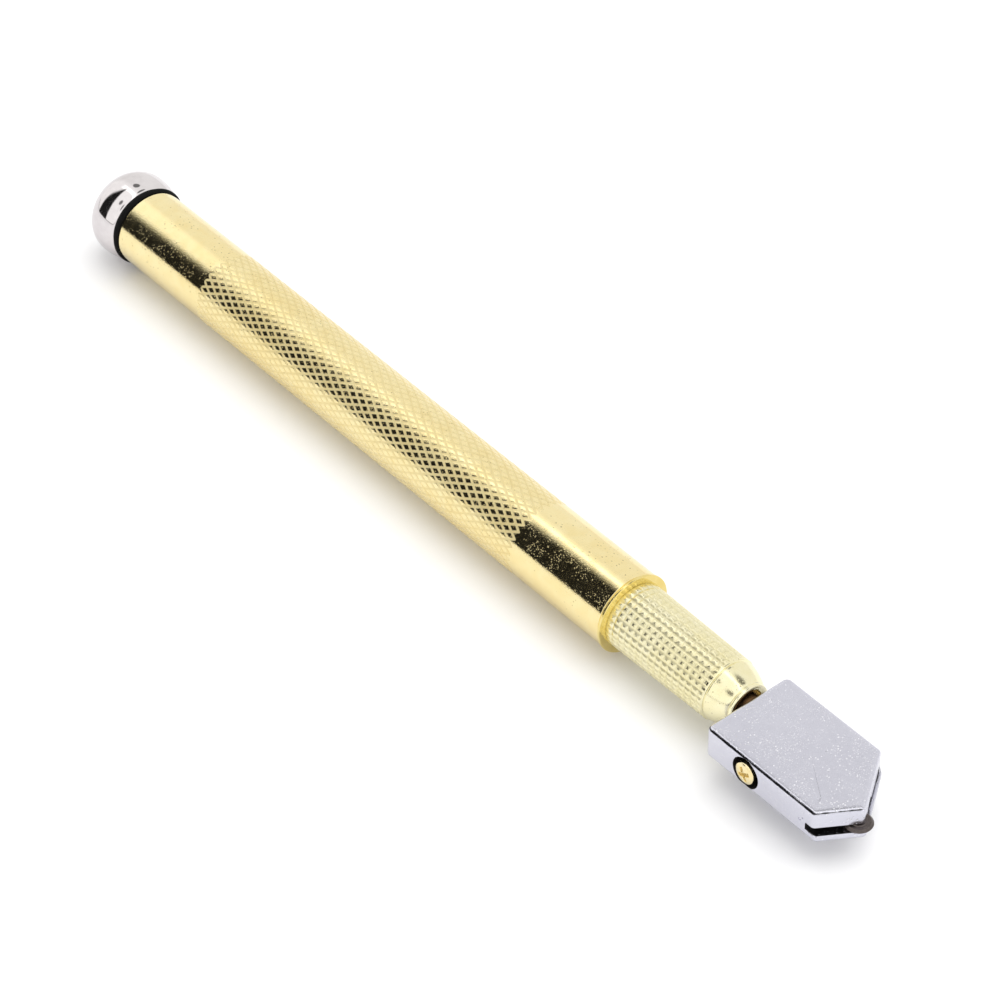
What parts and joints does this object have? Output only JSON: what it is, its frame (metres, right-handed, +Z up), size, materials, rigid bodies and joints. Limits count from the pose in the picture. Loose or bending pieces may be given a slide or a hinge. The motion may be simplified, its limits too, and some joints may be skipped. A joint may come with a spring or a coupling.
{
  "type": "glass cutter",
  "caption": "Oil-fed glass cutter: knurled brass handle with reservoir, screw cap, spring-loaded front grip and wide slotted head with a carbide wheel.",
  "frame": {"origin": "on the surface the tool lies on, under the middle of its length and of its width", "axes": "+X along the handle towards the cutting wheel, +Z up square to the head's broad faces, +Y to the edge of the head without the screw"},
  "size_m": [0.1778, 0.0168, 0.0145],
  "materials": {
    "handle_brass": "bright plated, fine diamond knurl",
    "grip_brass": "bright pale plate over a square knurl",
    "ring_brass": "turned, deep yellow",
    "bush_brass": "turned, unplated",
    "stem_brass": "drawn tube, tarnished brown",
    "screw_brass": "bright, pressed cross recess",
    "cap_chrome": "mirror plate",
    "head_chrome": "satin plate over a die casting, fine pits",
    "seal_rubber": "moulded, matte",
    "spring_steel": "drawn wire",
    "axle_steel": "ground pin",
    "wheel_carbide": "ground carbide, dark grey-brown",
    "wick_cotton": "twisted cotton"
  },
  "bodies": {
    "handle": {"handle_tube": "handle_brass", "front_ring": "ring_brass", "front_grip": "grip_brass", "grip_seal": "seal_rubber", "nose_bush": "bush_brass", "stem_seal": "seal_rubber", "seal_washer": "bush_brass", "valve_seat": "seal_rubber", "valve_spring": "spring_steel", "spring_retainer": "bush_brass"},
    "gasket": {"cap_gasket": "seal_rubber"},
    "cap": {"end_cap": "cap_chrome"},
    "stem": {"feed_stem": "stem_brass", "valve_poppet": "bush_brass", "feed_wick": "wick_cotton", "retaining_screw": "screw_brass"},
    "head": {"cutter_head": "head_chrome", "wheel_axle": "axle_steel"},
    "wheel": {"cutting_wheel": "wheel_carbide"}
  },
  "joints": [
    {"name": "cap_travel", "type": "slide", "parent": "handle", "child": "gasket", "axis": [-1, 0, 0], "range_m": [0, 0.007]},
    {"name": "cap_turn", "type": "hinge", "parent": "gasket", "child": "cap", "pos_m": [-0.07919, 0.00112, 0.00726], "axis": [-1, 0, 0], "range_deg": [0, 2520]},
    {"name": "head_press", "type": "slide", "parent": "handle", "child": "stem", "axis": [-1, 0, 0], "range_m": [0, 0.0005], "stiffness_N_per_m": 600, "springref_m": -0.004, "deforming": ["valve_spring"]},
    {"name": "head_swivel", "type": "hinge", "parent": "stem", "child": "head", "pos_m": [0.06269, 0.00112, 0.00726], "axis": [1, 0, 0], "range_deg": [-3, 3]},
    {"name": "wheel_spin", "type": "hinge", "parent": "head", "child": "wheel", "pos_m": [0.08679, -0.00188, 0.00646], "axis": [0, 0, 1], "continuous": true}
  ],
  "couplings": [
    {"joint": "cap_turn", "follows": "cap_travel", "rad_per_m": 6283.2}
  ]
}
